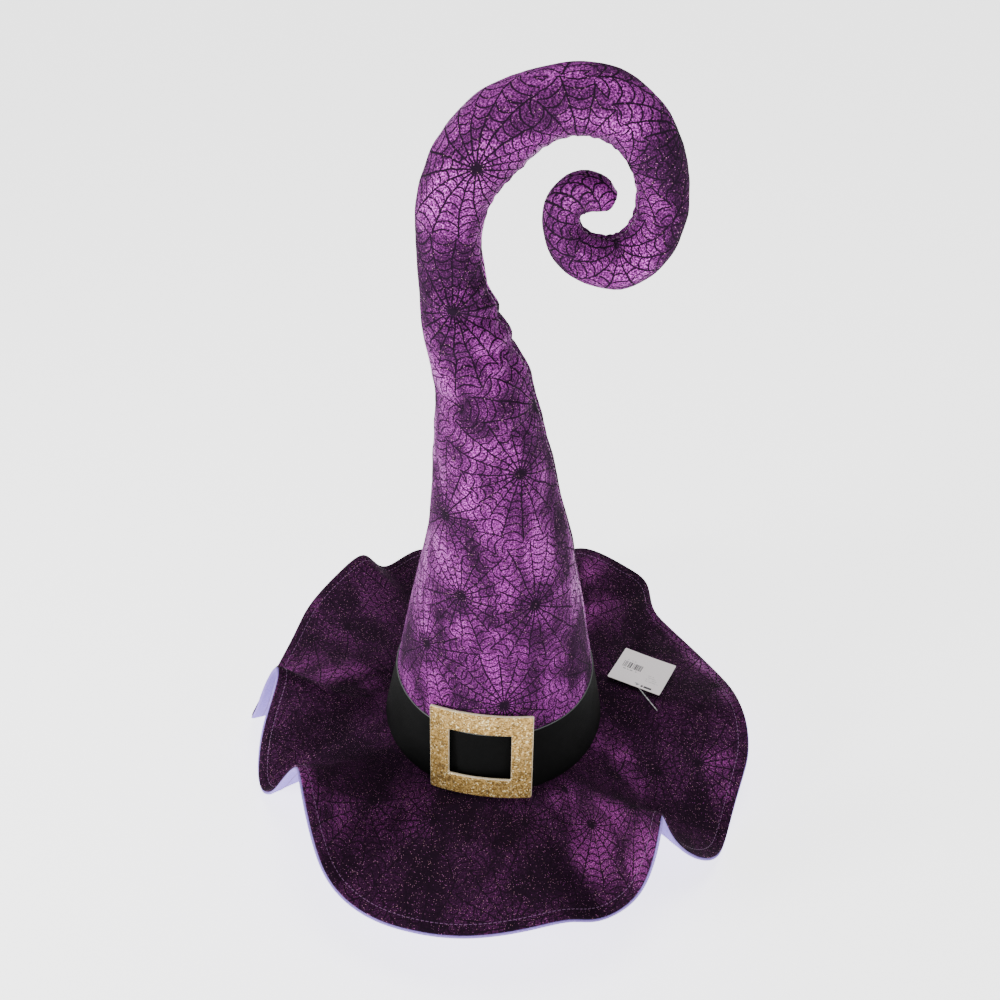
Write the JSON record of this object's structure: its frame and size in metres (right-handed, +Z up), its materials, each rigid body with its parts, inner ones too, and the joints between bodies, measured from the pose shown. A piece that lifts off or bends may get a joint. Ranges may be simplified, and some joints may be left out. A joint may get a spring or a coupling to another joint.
{
  "type": "witch hat",
  "caption": "Tall witch hat: wavy wired brim, band with square buckle, stuffed bendable tip curled into a spiral, swinging price tag.",
  "frame": {"origin": "centre of the head opening, on the plane where the crown meets the brim", "axes": "+Z up the crown, -Y towards the buckle, +X the side the curl opens to"},
  "size_m": [0.4453, 0.4357, 0.6125],
  "materials": {
    "web_velvet": "satin",
    "brim_velvet": "matte",
    "lavender_felt": "matte",
    "black_satin": "satin",
    "black_ribbon": "matte",
    "gold_foam": "satin",
    "non_woven": "matte",
    "lining_cloth": "matte",
    "fibre_fill": "matte",
    "seam_thread": "matte",
    "steel_wire": "satin",
    "clear_plastic": "satin",
    "hot_glue": "satin",
    "tag_card": "matte"
  },
  "bodies": {
    "crown": {"crown_velvet": "web_velvet", "crown_stuffing": "fibre_fill", "crown_wire": "steel_wire", "crown_stiffener": "non_woven", "crown_lining": "lining_cloth", "sweatband": "black_ribbon", "hat_band": "black_satin", "band_lap": "black_satin", "buckle": "gold_foam", "glue_left": "hot_glue", "glue_right": "hot_glue", "crown_seam": "seam_thread", "brim_velvet": "brim_velvet", "brim_interlining": "non_woven", "brim_felt": "lavender_felt", "brim_wire": "steel_wire", "brim_topstitch": "seam_thread", "tag_pin_anchor": "clear_plastic"},
    "cone": {"cone_velvet": "web_velvet", "cone_stuffing": "fibre_fill", "cone_wire": "steel_wire"},
    "arch": {"arch_velvet": "web_velvet", "arch_stuffing": "fibre_fill", "arch_wire": "steel_wire"},
    "curl": {"curl_velvet": "web_velvet", "curl_stuffing": "fibre_fill", "curl_wire": "steel_wire"},
    "tip": {"tip_velvet": "web_velvet", "tip_stuffing": "fibre_fill", "tip_wire": "steel_wire"},
    "tag_pin": {"tag_pin": "clear_plastic"},
    "price_tag": {"price_tag": "tag_card"}
  },
  "joints": [
    {"name": "cone_lean", "type": "hinge", "parent": "crown", "child": "cone", "pos_m": [-0.009, 0, 0.29], "axis": [1, 0, 0], "range_deg": [-20, 20]},
    {"name": "neck_bend", "type": "hinge", "parent": "cone", "child": "arch", "pos_m": [-0.0298, 0, 0.385], "axis": [0, 1, 0], "range_deg": [-25, 25]},
    {"name": "arch_bend", "type": "hinge", "parent": "arch", "child": "curl", "pos_m": [0.0364, 0, 0.533], "axis": [0, 1, 0], "range_deg": [-30, 15]},
    {"name": "tip_bend", "type": "hinge", "parent": "curl", "child": "tip", "pos_m": [0.0712, 0, 0.43], "axis": [0, 1, 0], "range_deg": [-20, 8]},
    {"name": "tag_lift", "type": "hinge", "parent": "crown", "child": "tag_pin", "pos_m": [0.145, -0.0017, 0.00051], "axis": [0.8578, 0.5139, 0], "range_deg": [0, 70]},
    {"name": "tag_swivel", "type": "hinge", "parent": "tag_pin", "child": "price_tag", "pos_m": [0.12908, 0.0249, 0.00404], "axis": [0.078, 0.165, 0.9832], "range_deg": [-20, 20]}
  ]
}
